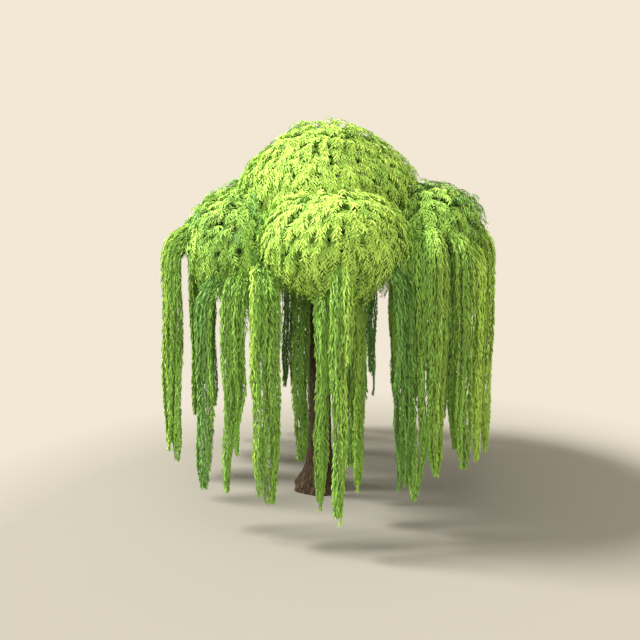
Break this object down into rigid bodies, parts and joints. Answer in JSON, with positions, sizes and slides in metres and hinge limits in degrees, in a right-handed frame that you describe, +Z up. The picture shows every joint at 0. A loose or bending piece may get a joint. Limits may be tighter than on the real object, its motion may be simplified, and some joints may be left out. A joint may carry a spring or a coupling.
{
  "type": "weeping willow tree",
  "caption": "Weeping willow with a flared trunk, forked boughs, rounded leaf masses and long curtains of hanging shoots, cut flat at ground level.",
  "frame": {"origin": "middle of the flat cut under the trunk, at ground level", "axes": "+Z up the trunk, -Y towards the front with the large low mass, +X to the tree's right as seen from the front"},
  "size_m": [10.926, 10.0556, 12.0918],
  "materials": {
    "bark": "rough, deeply ridged grey-brown bark",
    "leaves_bright": "soft satin, sunlit yellow-green leaves",
    "leaves_mid": "soft satin, mid green leaves",
    "leaves_deep": "soft satin, deep green leaves",
    "hanging_shoots": "soft satin, long narrow leaves on thin hanging shoots"
  },
  "bodies": {
    "root": {"bough_back": "bark", "bough_back_left": "bark", "bough_back_right": "bark", "bough_front": "bark", "bough_front_left": "bark", "bough_leader": "bark", "bough_left": "bark", "bough_right": "bark", "curtain_01": "hanging_shoots", "curtain_02": "hanging_shoots", "curtain_03": "hanging_shoots", "curtain_04": "hanging_shoots", "curtain_05": "hanging_shoots", "curtain_06": "hanging_shoots", "curtain_07": "hanging_shoots", "curtain_08": "hanging_shoots", "curtain_09": "hanging_shoots", "curtain_10": "hanging_shoots", "curtain_11": "hanging_shoots", "curtain_12": "hanging_shoots", "curtain_13": "hanging_shoots", "curtain_14": "hanging_shoots", "curtain_15": "hanging_shoots", "curtain_16": "hanging_shoots", "curtain_17": "hanging_shoots", "curtain_18": "hanging_shoots", "curtain_19": "hanging_shoots", "curtain_20": "hanging_shoots", "curtain_21": "hanging_shoots", "curtain_22": "hanging_shoots", "curtain_23": "hanging_shoots", "curtain_24": "hanging_shoots", "curtain_25": "hanging_shoots", "curtain_26": "hanging_shoots", "curtain_27": "hanging_shoots", "curtain_28": "hanging_shoots", "curtain_29": "hanging_shoots", "mass_back": "leaves_mid", "mass_back_left": "leaves_deep", "mass_back_right": "leaves_deep", "mass_front": "leaves_bright", "mass_front_left": "leaves_mid", "mass_left": "leaves_bright", "mass_right": "leaves_mid", "mass_top": "leaves_bright", "trunk": "bark"}
  },
  "joints": []
}
